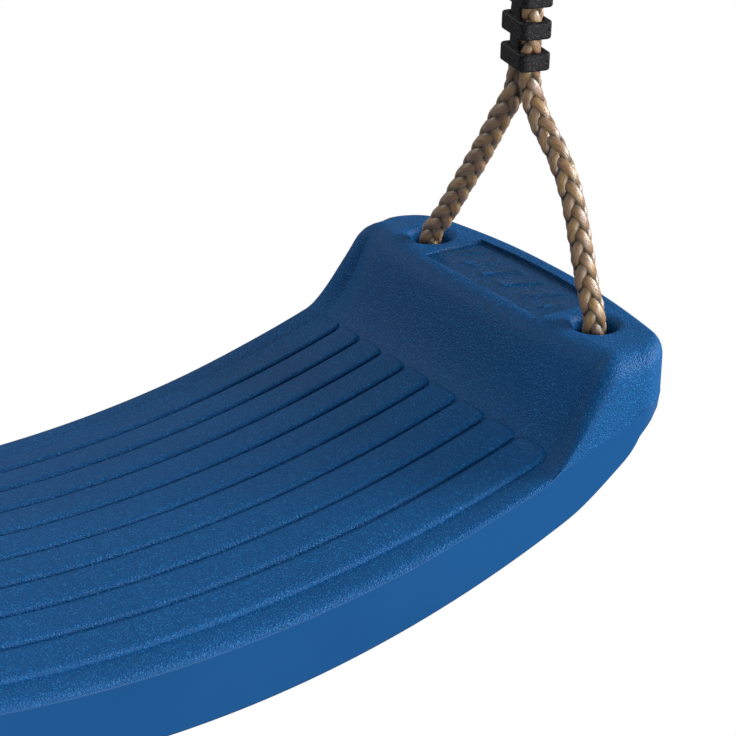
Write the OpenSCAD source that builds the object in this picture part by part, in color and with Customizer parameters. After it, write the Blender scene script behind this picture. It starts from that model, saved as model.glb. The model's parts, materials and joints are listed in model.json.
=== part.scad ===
// Hollow plastic swing seat on two rope bridles, hung from a pair of beam hangers.
// X runs along the seat, Y from front to back, Z up. The origin lies on the underside of
// the beam, midway between the two hangers. Millimetres.

/* [Seat] */
// Length of the seat over its ends
seat_length = 442; // [430:1:540]
// Width of the seat from front to back
seat_width = 175; // [150:1:210]
// Thickness of the seat at the middle
seat_thickness = 38.5; // [30:0.5:46]
// Height of the end blocks above the middle of the seat
block_height = 55.5; // [50:0.5:68]
// Length of an end block along the seat, from the foot of its wall to the seat's end
block_length = 69; // [66:1:84]
// Radius of the seat's dished upper face
dish_radius = 530; // [500:5:700]
// Radius of the underside
underside_radius = 420; // [400:5:500]
// Radius of the crown from front to back
crown_radius = 461; // [400:5:800]
// Wall of the hollow moulding
wall = 3; // [2:0.25:3.5]
// Radius of the seat's corners in plan
corner_radius = 16; // [8:1:22]

/* [Rope] */
// Rope diameter
rope_d = 10; // [8:0.25:12]
// Distance between the two rope holes of one end block
hole_spacing = 108; // [104:1:112]
// Distance from the seat's end to the rope holes
hole_inset = 25; // [22:0.5:28]
// Clearance all round the rope in its hole
hole_clearance = 3.75; // [2.5:0.25:4.5]
// Height of the bridle, from the rope holes to the clamp
bridle_height = 90.5; // [84:0.5:130]

/* [Rope clamp] */
// Number of ribs
clamp_ribs = 4; // [3:1:6]
// Thickness of a rib
rib_thickness = 7; // [5:0.2:8]
// Distance from one rib to the next
rib_pitch = 12.6; // [10:0.2:15]
// Size of a rib across the ropes, for a 10 mm rope
rib_depth = 13.2; // [12.6:0.2:16]
// Size of a rib along the line of the two ropes, for a 10 mm rope
rib_width = 21.4; // [20.8:0.2:25]
// Turn of the clamp about the rope line, in degrees
clamp_turn = -13; // [-20:1:20]
// Where the clamp hangs beside the rope line, along the seat and towards its front
clamp_shift = [1.3, -1.8];

/* [Ring and thimble] */
// Mean radius of the hanging ring
ring_radius = 27; // [25:0.5:34]
// Diameter of the ring's rod
ring_rod_d = 6; // [5:0.5:8]
// Radius of the thimble's eye
thimble_radius = 9; // [8.5:0.5:11]
// Thickness of the thimble's sheet
thimble_wall = 1.2; // [1:0.1:2]
// Drop from the thimble to the top of the clamp
eye_drop = 36; // [32:1:60]

/* [Hanger] */
// Diameter of the hook's rod
hook_rod_d = 8; // [7:0.5:9]
// Radius of the hook's bow
hook_radius = 14; // [13:0.5:16]
// Drop from the pivot bolt to the bow
hook_drop = 52; // [50:1:70]
// Drop from the beam to the pivot bolt
bolt_drop = 28; // [25:1:40]
// Diameter of the pivot bolt
bolt_d = 10; // [8:1:12]
// Outer diameter of the nylon bush
bush_d = 16; // [15:0.5:18]
// Gap between the hanger's ears
ear_gap = 24; // [22:1:30]
// Thickness of the hanger's plate and ears
plate_thickness = 4; // [3:0.5:5]
// Length of the hanger's plate, from front to back
plate_length = 92; // [86:1:110]
// Width of the hanger's plate
plate_width = 44; // [42:1:56]
// Distance between the two screw holes of a hanger
screw_spacing = 64; // [60:1:76]
// Diameter of the screw holes
screw_hole_d = 8.5; // [6.5:0.5:10.5]

/* [Hidden] */
$fn = 64;

touch_gap = 0.3;      // between bodies that rest on each other
running_gap = 0.06;   // radial, between a pin and what turns on it
press_gap = 0.03;     // radial, between pieces that are pressed together
over = 1;             // how far a cut runs past a face
shy = 0.4;            // how far a flat stays inside the round that it meets
bead = 0.05;          // how far a weld stands proud of a rod

rope_r = rope_d / 2;
line_x = seat_length / 2 - hole_inset;
hook_rod_r = hook_rod_d / 2;
ring_rod_r = ring_rod_d / 2;

// Heights, from the beam down
bolt_z = -bolt_drop;
bow_z = bolt_z - hook_drop;
ring_z = bow_z + hook_rod_r + ring_rod_r + touch_gap - ring_radius;
// The ring's rod curves up inside the thimble, so the eye sits this much clear of it
ring_inner_r = ring_radius - ring_rod_r;
ring_rise = 0.032 + ring_inner_r
    - sqrt(pow(ring_inner_r, 2) - pow(rope_r + 0.2 + thimble_wall, 2));
thimble_z = ring_z - ring_radius + ring_rod_r + ring_rise - thimble_radius;
clamp_top = thimble_z - eye_drop;
clamp_height = (clamp_ribs - 1) * rib_pitch + rib_thickness;
clamp_bottom = clamp_top - clamp_height;
mouth_z = clamp_bottom - bridle_height;
seat_z = mouth_z - block_height;

// ---- helpers ----

// Puts a right-hand piece at its line; side is 1 for right and -1 for left
module at_line(side) { translate([side * line_x, 0, 0]) children(); }

// A cylinder along X, centred
module x_cylinder(r, h) { rotate([0, 90, 0]) cylinder(r = r, h = h, center = true); }

// A straight rod between two points of the Y-Z plane, with round ends
module rod(a, b, r) {
    d = b - a;
    translate([0, a.x, a.y]) sphere(r = r + bead);
    translate([0, b.x, b.y]) sphere(r = r + bead);
    translate([0, a.x, a.y]) rotate([-atan2(d.x, d.y), 0, 0]) cylinder(r = r, h = norm(d));
}

// ---- hanger ----

ear_radius = 15;
ear_x = ear_gap / 2 + plate_thickness / 2;

module hanger() {
    difference() {
        union() {
            translate([0, 0, -plate_thickness / 2])
                cube([plate_width, plate_length, plate_thickness], center = true);
            for (s = [-1, 1]) {
                translate([s * ear_x, 0, bolt_z]) x_cylinder(ear_radius, plate_thickness);
                translate([s * ear_x, 0, bolt_z / 2])
                    cube([plate_thickness, 2 * (ear_radius - shy), bolt_drop - 0.02], center = true);
            }
        }
        for (s = [-1, 1])
            translate([0, s * screw_spacing / 2, -plate_thickness - over])
                cylinder(d = screw_hole_d, h = plate_thickness + 2 * over);
        translate([0, 0, bolt_z]) x_cylinder(bolt_d / 2 + press_gap, ear_gap + 4 * plate_thickness);
    }
}

head_af = 1.6 * bolt_d;
head_height = 0.64 * bolt_d;
nut_height = 0.95 * bolt_d;
shank_spare = 3;

module pivot_bolt() {
    ears = ear_gap + 2 * plate_thickness;
    translate([-ears / 2, 0, bolt_z]) rotate([0, 90, 0]) {
        cylinder(d = bolt_d, h = ears + nut_height + shank_spare);
        translate([0, 0, -head_height]) cylinder(d = head_af / cos(30), h = head_height, $fn = 6);
    }
}

module lock_nut() {
    translate([ear_gap / 2 + plate_thickness, 0, bolt_z]) rotate([0, 90, 0]) difference() {
        union() {
            cylinder(d = head_af / cos(30), h = nut_height * 0.7, $fn = 6);
            cylinder(d = head_af * 0.92, h = nut_height);
        }
        translate([0, 0, -over]) cylinder(r = bolt_d / 2 + press_gap, h = nut_height + 2 * over);
    }
}

// ---- bush, hook and gate ----

end_float = 0.3;      // between the bush and each ear
sleeve_wall = 3;
sleeve_r = bush_d / 2 + sleeve_wall;
sleeve_length = ear_gap - 3;

module bush() {
    translate([0, 0, bolt_z]) difference() {
        x_cylinder(bush_d / 2, ear_gap - 2 * end_float);
        x_cylinder(bolt_d / 2 + running_gap, ear_gap + 2 * over);
    }
}

// Places in the Y-Z plane, with the bow's centre over its lowest point
bow_y = -hook_radius;
bow_centre_z = bow_z + hook_radius;
neck_z = bolt_z - sleeve_r - 5;
shoulder_z = neck_z - hook_radius;
gate_pin_d = 3;
gate_width = 5.6;
gate_thickness = 3;
cheek_thickness = 2.2;
cheek_x = gate_width / 2 + touch_gap + cheek_thickness / 2;
gate_boss_r = 3.6;
gate_pivot = [8.5, neck_z - 4];
gate_nose = [hook_radius - 2.2 - hook_rod_r, bow_centre_z + 2];

module hook() {
    rod_top = bolt_z - sleeve_r + sleeve_wall / 2;
    difference() {
        union() {
            translate([0, 0, bolt_z]) x_cylinder(sleeve_r, sleeve_length);
            translate([0, 0, neck_z]) cylinder(r = hook_rod_r, h = rod_top - neck_z);
            rod([0, neck_z], [bow_y, shoulder_z], hook_rod_r);
            rod([bow_y, shoulder_z], [bow_y, bow_centre_z], hook_rod_r);
            translate([0, 0, bow_centre_z]) rotate([0, 90, 0]) rotate([0, 0, -90])
                rotate_extrude(angle = 180) translate([hook_radius, 0]) circle(r = hook_rod_r);
            translate([0, hook_radius, bow_centre_z]) sphere(r = hook_rod_r + bead);
            for (s = [-1, 1]) {
                translate([s * cheek_x, gate_pivot.x, gate_pivot.y])
                    x_cylinder(gate_boss_r, cheek_thickness);
                translate([s * cheek_x, gate_pivot.x / 2, gate_pivot.y])
                    cube([cheek_thickness, gate_pivot.x, 2 * (gate_boss_r - shy)], center = true);
            }
        }
        translate([0, 0, bolt_z]) x_cylinder(bush_d / 2 + press_gap, sleeve_length + 2 * over);
        translate([0, gate_pivot.x, gate_pivot.y]) x_cylinder(gate_pin_d / 2 + press_gap, 20);
        // Room for the gate between the cheeks
        translate([0, gate_pivot.x, gate_pivot.y])
            x_cylinder(gate_boss_r + touch_gap, gate_width + 2 * touch_gap);
    }
}

module gate_pin() {
    translate([0, gate_pivot.x, gate_pivot.y])
        x_cylinder(gate_pin_d / 2, 2 * (cheek_x + cheek_thickness / 2) + 1);
}

module gate() {
    d = gate_nose - gate_pivot;
    arm = norm(d);
    difference() {
        union() {
            translate([0, gate_pivot.x, gate_pivot.y]) x_cylinder(gate_boss_r, gate_width);
            translate([0, gate_pivot.x, gate_pivot.y]) rotate([-atan2(d.x, d.y), 0, 0])
                translate([shy - gate_width / 2, -gate_thickness / 2, gate_boss_r - 1])
                    cube([gate_width - 2 * shy, gate_thickness, arm - gate_boss_r + 1]);
            translate([0, gate_nose.x, gate_nose.y]) x_cylinder(gate_thickness / 2 + shy, gate_width);
        }
        translate([0, gate_pivot.x, gate_pivot.y])
            x_cylinder(gate_pin_d / 2 + running_gap, gate_width + 2 * over);
    }
}

// ---- ring and thimble ----

module ring() {
    translate([0, 0, ring_z]) rotate([90, 0, 0])
        rotate_extrude() translate([ring_radius, 0]) circle(r = ring_rod_r);
}

groove_r = rope_r + 0.2;
thimble_span = 232;
eye_radius = thimble_radius + thimble_wall + groove_r;

// Channel-shaped sheet bent round the ring, which keeps the rope's eye open
module thimble() {
    half = groove_r + thimble_wall;
    translate([0, 0, thimble_z]) rotate([0, 90, 0]) rotate([0, 0, 180 - thimble_span / 2])
        rotate_extrude(angle = thimble_span) difference() {
            translate([thimble_radius, -half]) square([groove_r * 0.8 + thimble_wall, 2 * half]);
            translate([eye_radius, 0]) circle(r = groove_r);
        }
}

// ---- rope clamp ----

rope_nip_r = 0.9 * rope_r;        // the rope where the clamp squeezes it
rope_nip_y = rope_nip_r + 0.1;
slot_r = rope_nip_r + touch_gap;
core_depth = 2 * slot_r + 1;
rib_scale = rope_d / 10;
core_width = 2 * slot_r;

module clamp_slot(h) {
    for (s = [-1, 1]) translate([0, s * rope_nip_y, 0]) cylinder(r = slot_r, h = h);
    translate([-slot_r, -rope_nip_y, 0]) cube([2 * slot_r, 2 * rope_nip_y, h]);
}

module clamp() {
    window = rib_pitch - rib_thickness;
    translate([clamp_shift.x, clamp_shift.y, clamp_bottom]) rotate([0, 0, clamp_turn]) difference() {
        union() {
            translate([-core_depth / 2, -core_width / 2, 0])
                cube([core_depth, core_width, clamp_height]);
            for (i = [0 : clamp_ribs - 1])
                translate([-rib_depth * rib_scale / 2, -rib_width * rib_scale / 2, i * rib_pitch])
                    cube([rib_depth * rib_scale, rib_width * rib_scale, rib_thickness]);
        }
        translate([0, 0, -over]) clamp_slot(clamp_height + 2 * over);
        // Windows at the two narrow sides, where the ropes show between the ribs
        for (i = [0 : clamp_ribs - 2])
            translate([-slot_r, -core_width, i * rib_pitch + rib_thickness])
                cube([2 * slot_r, 2 * core_width, window]);
    }
}

// ---- rope ----

// Each point of a route is [Y, Z, share of the rope's radius, X].
// On the legs Z is counted up from the rope holes.
front_leg = [[-54, -4.8, 0.25, 0], [-54, -3.5, 0.71, 0], [-54, 0, 1, 0], [-47.5, 16, 1, 0.2],
             [-41.5, 32.5, 1, 0.5], [-34, 49.5, 1, 0.8], [-24.5, 62, 1, 1], [-13.5, 72, 1, 1.2],
             [-7.3, 81, 0.97, 1.3]];
rear_leg = [[3.5, 80, 0.97, 1.3], [11.4, 66.2, 1, 1.1], [22.3, 47.5, 1, 0.8], [33.5, 29.8, 1, 0.5],
            [44.5, 12.5, 1, 0.2], [53, 0, 1, 0], [53.6, -3.5, 0.71, 0], [53.6, -4.8, 0.25, 0]];
underseat_radius = 9;
eye_steps = 8;
eye_start = -28;
rope_sides = 10;

function scaled_leg(points) = [for (p = points)
    [p[0] * hole_spacing / 108, mouth_z + p[1] * (p[1] > 0 ? bridle_height / 92 : rope_r / 5),
     p[2], p[3]]];
// A rope in the clamp, which is turned about the rope line
function nipped(y, z) = [y * cos(clamp_turn) + clamp_shift.y, z, rope_nip_r / rope_r,
                         clamp_shift.x - y * sin(clamp_turn)];
// The chords of the eye's route touch its circle at their middles
eye_step = (180 - 2 * eye_start) / eye_steps;
eye_route_radius = eye_radius / cos(eye_step / 2);
eye_route = [for (i = [0 : eye_steps]) let(a = eye_start + i * eye_step)
    [-eye_route_radius * cos(a), thimble_z + eye_route_radius * sin(a), 1, 0]];
rope_route = concat(
    scaled_leg(front_leg),
    [nipped(-rope_nip_y, clamp_bottom), nipped(-rope_nip_y, clamp_top)],
    eye_route,
    [nipped(rope_nip_y, clamp_top), nipped(rope_nip_y, clamp_bottom)],
    scaled_leg(rear_leg));

// The stretch inside the seat: down one hole, along the groove and up the other hole
groove_height = 33;   // of the groove's floor above the middle of the seat
hole_r = rope_r + hole_clearance;
groove_floor_z = seat_z + groove_height;
under_z = groove_floor_z - touch_gap - rope_r;
hole_y = hole_spacing / 2;
bend_y = hole_y - underseat_radius;
bend_z = under_z + underseat_radius;
underseat_end_z = mouth_z - rope_r - touch_gap;
underseat_route = concat(
    [[-hole_y, underseat_end_z, 1, 0]],
    [for (a = [0, 30, 60, 90]) [-bend_y - underseat_radius * cos(a),
                                bend_z - underseat_radius * sin(a), 1, 0]],
    [for (a = [90, 60, 30, 0]) [bend_y + underseat_radius * cos(a),
                                bend_z - underseat_radius * sin(a), 1, 0]],
    [[hole_y, underseat_end_z, 1, 0]]);

function unit(v) = v / norm(v);
function tangent(route, i) = let(n = len(route) - 1, a = route[max(i - 1, 0)],
    b = route[min(i + 1, n)]) unit([b.x - a.x, b.y - a.y]);
// One ring of points round the route, in a plane square to it
function ring_points(route, i, sides) = let(p = route[i], t = tangent(route, i), r = rope_r * p[2])
    [for (k = [0 : sides - 1]) let(a = 360 * (k + 0.5) / sides)
        [p[3] + r * cos(a), p[0] - r * sin(a) * t.y, p[1] + r * sin(a) * t.x]];

module rope_tube(route) {
    n = len(route);
    m = rope_sides;
    points = [for (i = [0 : n - 1]) each ring_points(route, i, m)];
    sides = [for (i = [0 : n - 2], k = [0 : m - 1])
        [i * m + k, i * m + (k + 1) % m, (i + 1) * m + (k + 1) % m, (i + 1) * m + k]];
    polyhedron(points, concat(sides, [[for (k = [m - 1 : -1 : 0]) k]],
                              [[for (k = [0 : m - 1]) (n - 1) * m + k]]));
}

// ---- seat ----

slab_angle = asin((seat_length / 2 - block_length + 16.2) / dish_radius);
end_bow_radius = 330;
tunnel_wall = 2.5;

// Everything between the dished upper face and a depth well below it; inset moves each face in
module slab(inset) {
    r = dish_radius + inset;
    translate([0, 0, dish_radius]) rotate([90, 0, 0]) rotate([0, 0, -90 - slab_angle])
        rotate_extrude(angle = 2 * slab_angle, $fn = 360) intersection() {
            translate([r + crown_radius, 0]) circle(r = crown_radius, $fn = 360);
            translate([r - over, -seat_width / 2 - over])
                square([seat_thickness * 2, seat_width + 2 * over]);
        }
}

// Outline of an end block in the X-Z plane, from the foot of its inner wall round to its end
module block_outline(inset) {
    end_x = seat_length / 2;
    foot_x = end_x - block_length;
    top = block_height;
    offsets = [[0, 13], [8, 24], [14, 31], [19, 41], [22, 49], [26.5, top - 1.5], [32, top]];
    inner = [for (p = offsets) [foot_x + p.x + inset, p.y - (p.y > 40 ? inset : inset / 2)]];
    polygon(concat(
        [[foot_x + inset, -seat_thickness]], inner,
        [[end_x - 7 - inset, top - inset], [end_x - 2 - inset, top - 2.5 - inset],
         [end_x + over - inset, top - 7.5], [end_x + over - inset, -seat_thickness]]));
}

module block(inset, side) {
    mirror([side < 0 ? 1 : 0, 0, 0]) rotate([90, 0, 0])
        linear_extrude(seat_width + 2 * over, center = true) block_outline(inset);
}

// A longer seat has a flatter underside, so that its end blocks keep their depth
underside_r = underside_radius * pow(seat_length / 442, 2);

// What lies above the underside, in the X-Z plane
module above_underside(inset) {
    end_x = seat_length / 2 + over;
    rise_x = end_x - 71;
    top = block_height + over;
    rising = [[rise_x - 40, -seat_thickness - over], [rise_x, shy - underside_lift(rise_x)],
              [end_x - 42, 5.5], [end_x - 14, 27], [end_x, 33]];
    rotate([90, 0, 0]) linear_extrude(seat_width + 2 * over, center = true) intersection() {
        translate([0, underside_r - seat_thickness])
            circle(r = underside_r - inset, $fn = 360);
        polygon(concat(
            [for (p = rising) [-p.x, p.y + inset]], [[-end_x, top], [end_x, top]],
            [for (i = [len(rising) - 1 : -1 : 0]) [rising[i].x, rising[i].y + inset]]));
    }
}
function underside_lift(x) =
    seat_thickness - underside_r + sqrt(underside_r * underside_r - x * x);

// Plan of the seat: straight long sides, bowed ends and rounded corners that meet both
module plan(inset) {
    half = seat_length / 2 - inset;
    side = seat_width / 2 - inset;
    r = corner_radius - inset;
    bow = end_bow_radius - inset;
    bow_x = half - bow;
    corner_x = bow_x + sqrt(pow(bow - r, 2) - pow(side - r, 2));
    corner = concat([[half + over, side / 2]],
        [for (a = [30 : 12 : 90]) [corner_x + r * cos(a), side - r + r * sin(a)]]);
    n = len(corner) - 1;
    translate([0, 0, -seat_thickness - over]) linear_extrude(seat_thickness + block_height + 2 * over)
        intersection() {
            polygon(concat(corner,
                [for (i = [n : -1 : 0]) [-corner[i].x, corner[i].y]],
                [for (i = [0 : n]) [-corner[i].x, -corner[i].y]],
                [for (i = [n : -1 : 0]) [corner[i].x, -corner[i].y]]));
            translate([bow_x, 0]) circle(r = bow, $fn = 360);
            translate([-bow_x, 0]) circle(r = bow, $fn = 360);
        }
}

module seat_form(inset) {
    intersection() {
        union() {
            slab(inset);
            for (side = [-1, 1]) block(inset, side);
        }
        above_underside(inset);
        plan(inset);
    }
}

// Rope holes and groove of one end; grow adds the wall round them
module rope_way(side, grow) {
    r = hole_r + grow;
    floor_z = groove_floor_z - seat_z + grow;
    translate([side * line_x, 0, 0]) {
        for (s = [-1, 1]) translate([0, s * hole_y, -seat_thickness - over])
            cylinder(r = r, h = seat_thickness + block_height + 2 * over);
        translate([shy - r, -hole_y, -seat_thickness - over])
            cube([2 * (r - shy), 2 * hole_y, seat_thickness + over + floor_z]);
    }
}

module seat_shell() {
    color("#1f4f8f") translate([0, 0, seat_z]) difference() {
        seat_form(0);
        difference() {
            seat_form(wall);
            for (side = [-1, 1]) rope_way(side, tunnel_wall);
        }
        for (side = [-1, 1]) rope_way(side, 0);
    }
}

// ---- nodes ----

module right_hanger() { color("#b9bcbd") at_line(1) hanger(); }
module left_hanger() { color("#b9bcbd") at_line(-1) hanger(); }
module right_pivot_bolt() { color("#c9cbcc") at_line(1) pivot_bolt(); }
module left_pivot_bolt() { color("#c9cbcc") at_line(-1) pivot_bolt(); }
module right_lock_nut() { color("#c9cbcc") at_line(1) lock_nut(); }
module left_lock_nut() { color("#c9cbcc") at_line(-1) lock_nut(); }
module right_bush() { color("#e8e6df") at_line(1) bush(); }
module left_bush() { color("#e8e6df") at_line(-1) bush(); }
module right_hook() { color("#b4b7b9") at_line(1) hook(); }
module left_hook() { color("#b4b7b9") at_line(-1) hook(); }
module right_gate_pin() { color("#c9cbcc") at_line(1) gate_pin(); }
module left_gate_pin() { color("#c9cbcc") at_line(-1) gate_pin(); }
module right_gate() { color("#a9acae") at_line(1) gate(); }
module left_gate() { color("#a9acae") at_line(-1) gate(); }
module right_ring() { color("#b4b7b9") at_line(1) ring(); }
module left_ring() { color("#b4b7b9") at_line(-1) ring(); }
module right_thimble() { color("#b4b7b9") at_line(1) thimble(); }
module left_thimble() { color("#b4b7b9") at_line(-1) thimble(); }
module right_clamp() { color("#232123") at_line(1) clamp(); }
module left_clamp() { color("#232123") at_line(-1) clamp(); }
module right_rope() { color("#a8834f") at_line(1) rope_tube(rope_route); }
module left_rope() { color("#a8834f") at_line(-1) rope_tube(rope_route); }
module right_rope_underseat() { color("#a8834f") at_line(1) rope_tube(underseat_route); }
module left_rope_underseat() { color("#a8834f") at_line(-1) rope_tube(underseat_route); }

right_hanger();
left_hanger();
right_pivot_bolt();
left_pivot_bolt();
right_lock_nut();
left_lock_nut();
right_bush();
left_bush();
right_hook();
left_hook();
right_gate_pin();
left_gate_pin();
right_gate();
left_gate();
right_ring();
left_ring();
right_thimble();
left_thimble();
right_clamp();
left_clamp();
right_rope();
left_rope();
right_rope_underseat();
left_rope_underseat();
seat_shell();
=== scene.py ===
"""Looks of a moulded plastic swing seat on rope bridles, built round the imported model."""
import json
import math
from types import SimpleNamespace

import bmesh
import bpy
import numpy as np
from bpy.props import (
    FloatProperty,
    FloatVectorProperty,
    IntProperty,
    PointerProperty,
)
from mathutils import Matrix, Vector


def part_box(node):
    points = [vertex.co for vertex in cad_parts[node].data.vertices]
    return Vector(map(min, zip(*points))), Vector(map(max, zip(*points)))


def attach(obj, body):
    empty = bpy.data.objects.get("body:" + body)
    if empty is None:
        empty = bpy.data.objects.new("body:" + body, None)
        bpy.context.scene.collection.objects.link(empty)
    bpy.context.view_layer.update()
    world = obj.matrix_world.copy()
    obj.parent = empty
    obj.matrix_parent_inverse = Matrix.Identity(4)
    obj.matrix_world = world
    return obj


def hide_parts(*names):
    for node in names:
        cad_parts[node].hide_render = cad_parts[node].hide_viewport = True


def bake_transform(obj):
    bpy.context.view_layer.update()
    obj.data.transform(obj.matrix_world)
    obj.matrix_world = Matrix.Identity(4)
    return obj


bl_info = {
    "name": "Moulded swing seat",
    "version": (1, 0, 0),
    "blender": (4, 5, 0),
    "location": "View3D > Sidebar > Swing",
    "description": "Builds the visible pieces of a plastic swing seat with rope bridles",
    "category": "Object",
}

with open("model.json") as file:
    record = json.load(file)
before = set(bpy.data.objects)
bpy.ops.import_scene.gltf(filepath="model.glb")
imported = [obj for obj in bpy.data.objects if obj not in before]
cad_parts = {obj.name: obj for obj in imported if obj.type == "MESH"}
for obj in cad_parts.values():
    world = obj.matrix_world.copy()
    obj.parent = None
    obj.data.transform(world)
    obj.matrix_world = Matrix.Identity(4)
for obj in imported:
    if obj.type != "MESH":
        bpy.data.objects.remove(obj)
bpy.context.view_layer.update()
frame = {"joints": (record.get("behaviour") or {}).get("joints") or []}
SIDES = {"right": 1, "left": -1}
MM = 0.001

# Places that the frame gives, in metres
SEAT_LOW, SEAT_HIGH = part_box("seat_shell")
CLAMP_LOW, CLAMP_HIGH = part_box("right_clamp")
BLOCK_TOP = SEAT_HIGH.z
JOINTS = {joint["name"]: joint for joint in frame["joints"]}
LINE_X = JOINTS["sway"]["pos_m"][0]
MOUTH_Z = JOINTS["seat_level"]["pos_m"][2]


# ---------------------------------------------------------------- settings


def length(name, description, millimetres):
    """A size that a user may change: given in millimetres and kept in metres"""
    return FloatProperty(
        name=name, description=description, default=millimetres * MM, precision=4, unit="LENGTH"
    )


def colour(name, description, default):
    """A colour that a user may change"""
    return FloatVectorProperty(name=name, description=description, default=default, subtype="COLOR")


class SwingSeatSettings(bpy.types.PropertyGroup):
    """Shape of the moulded seat"""

    block_height: length("Block height", "End block above the middle of the seat", 55.5)
    dish_radius: length("Dish radius", "Radius of the upper face along the seat", 530)
    crown_radius: length("Crown radius", "Radius of the upper face from front to back", 461)
    depth: length("Depth", "From the upper face to the underside, in the middle", 38.2)
    underside_radius: length("Underside radius", "Radius of the underside along the seat", 420)
    pad_count: IntProperty(name="Pads", description="Raised strips on the seat", default=9)
    pad_pitch: length("Pad pitch", "Distance from one strip to the next", 17.17)
    pad_gap: length("Pad gap", "Width of a groove", 1.5)
    pad_relief: length("Pad relief", "Height of a strip", 1.7)
    pad_end: length("Pad end", "From the middle of the seat to the end of a strip", 152.5)
    wall_bow: length("Bow", "How far the block's wall bulges at the middle", 4.9)
    crest: length("Crest", "From the middle of the seat to the top of the wall", 182)
    crest_radius: length("Crest radius", "Round of the crest", 13)
    rim_width: length("Rim", "Width of the rounded long edges", 10)
    rim_drop: length("Rim drop", "Depth of the seat's rounded edge", 3)
    block_rim_drop: length("Block rim drop", "Depth of the block's rounded edge", 8.5)
    end_rim: length("End rim", "Width of the rounded end edges", 4)
    hole_radius: length("Hole radius", "Rope hole", 8.75)
    hole_y: length("Hole place", "Rope hole from the middle", 54)
    groove_floor: length("Groove floor", "Top of the rope groove under the block", 33)


class SwingRopeSettings(bpy.types.PropertyGroup):
    """Shape of the braided rope"""

    diameter: length("Diameter", "Over the strands", 10)
    lay: length("Lay", "Length of one turn of a strand", 36)
    strands: IntProperty(name="Strands", description="Half of them turn each way", default=8)


class SwingColours(bpy.types.PropertyGroup):
    """Colours of the finishes"""

    seat: colour("Seat", "Moulded plastic", (0.005, 0.076, 0.235))
    rope: colour("Rope", "Polyhemp strands", (0.33, 0.2, 0.092))
    # Painted shade between strands and where they dive
    rope_painted_shade: colour("Rope shade", "Between strands", (0.03, 0.021, 0.008))
    clamp: colour("Clamp", "Moulded clamp", (0.012, 0.011, 0.013))
    zinc: colour("Zinc", "Galvanised steel", (0.52, 0.54, 0.56))
    nylon: colour("Nylon", "Bush", (0.78, 0.77, 0.72))


def in_millimetres(settings):
    """The settings' lengths in millimetres, and their counts as they are"""
    values = {}
    for key, kind in settings.bl_rna.properties.items():
        if kind.type == "FLOAT":
            values[key] = round(getattr(settings, key) / MM, 4)
        elif kind.type == "INT":
            values[key] = getattr(settings, key)
    return SimpleNamespace(**values)


# ---------------------------------------------------------------- helpers


def deselect():
    bpy.ops.object.select_all(action="DESELECT")


def activate(obj):
    """Makes this the only selected object, for the operators that follow"""
    deselect()
    obj.select_set(True)
    bpy.context.view_layer.objects.active = obj


def smoothstep(t):
    """Rises smoothly from 0 at 0 to 1 at 1"""
    t = np.clip(t, 0, 1)
    return t * t * (3 - 2 * t)


def ramp(x, start, run):
    """Rises smoothly from 0 at start to 1 at start + run"""
    return smoothstep((x - start) / run)


def object_from_bmesh(name, bm):
    """A new object in the scene, made from the mesh data, which is freed"""
    mesh = bpy.data.meshes.new(name)
    bm.to_mesh(mesh)
    bm.free()
    obj = bpy.data.objects.new(name, mesh)
    bpy.context.scene.collection.objects.link(obj)
    return obj


def apply_modifier(obj, kind, **values):
    """Adds a modifier with these settings and applies it"""
    activate(obj)
    modifier = obj.modifiers.new(kind.title(), kind)
    for key, value in values.items():
        setattr(modifier, key, value)
    bpy.ops.object.modifier_apply(modifier=modifier.name)


def cut(obj, tool):
    """Takes the tool's shape out of the object, and removes the tool"""
    apply_modifier(obj, "BOOLEAN", operation="DIFFERENCE", solver="EXACT", object=tool)
    bpy.data.objects.remove(tool)


def loft(bm, loops):
    """Joins rings of vertices with faces; all rings have the same number of vertices"""
    faces = []
    for a, b in zip(loops, loops[1:]):
        for i in range(len(a)):
            j = (i + 1) % len(a)
            faces.append(bm.faces.new((a[i], a[j], b[j], b[i])))
    return faces


def closed_loft(name, bm, loops):
    """A new object from rings of vertices, closed at its first and last ring"""
    loft(bm, loops)
    bm.faces.new(loops[0][::-1])
    bm.faces.new(loops[-1])
    bmesh.ops.recalc_face_normals(bm, faces=bm.faces)
    return object_from_bmesh(name, bm)


def smooth_by_angle(obj, degrees):
    """Smooth shading, with edges sharper than this angle kept sharp"""
    activate(obj)
    bpy.ops.object.shade_smooth_by_angle(angle=math.radians(degrees))


def weigh_normals(obj):
    """Lets large faces look flat beside the small ones that round their edges"""
    weighted = obj.modifiers.new("Weighted normals", "WEIGHTED_NORMAL")
    weighted.keep_sharp = True


# ---------------------------------------------------------------- shader parts


def set_inputs(node, **values):
    """Gives the node's inputs these values; an underscore stands for a space in a name"""
    for key, value in values.items():
        node.inputs[key.replace("_", " ")].default_value = value


class Shader:
    """A material's node tree with short calls for adding and joining nodes"""

    def __init__(self, name):
        self.material = bpy.data.materials.new(name)
        self.material.use_nodes = True
        self.tree = self.material.node_tree
        self.surface = self.tree.nodes["Principled BSDF"]

    def node(self, kind, **values):
        node = self.tree.nodes.new(kind)
        for key, value in values.items():
            setattr(node, key, value)
        return node

    def group(self, tree, **inputs):
        node = self.node("ShaderNodeGroup", node_tree=tree)
        set_inputs(node, **inputs)
        return node

    def join(self, source, target):
        self.tree.links.new(source, target)


def new_group(name, inputs, outputs):
    """A shader node group with these sockets, and its input and output nodes"""
    tree = bpy.data.node_groups.new(name, "ShaderNodeTree")
    for label, kind, default in inputs:
        socket = tree.interface.new_socket(label, in_out="INPUT", socket_type=kind)
        if default is not None:
            socket.default_value = default
    for label, kind in outputs:
        tree.interface.new_socket(label, in_out="OUTPUT", socket_type=kind)
    return tree, tree.nodes.new("NodeGroupInput"), tree.nodes.new("NodeGroupOutput")


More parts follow.
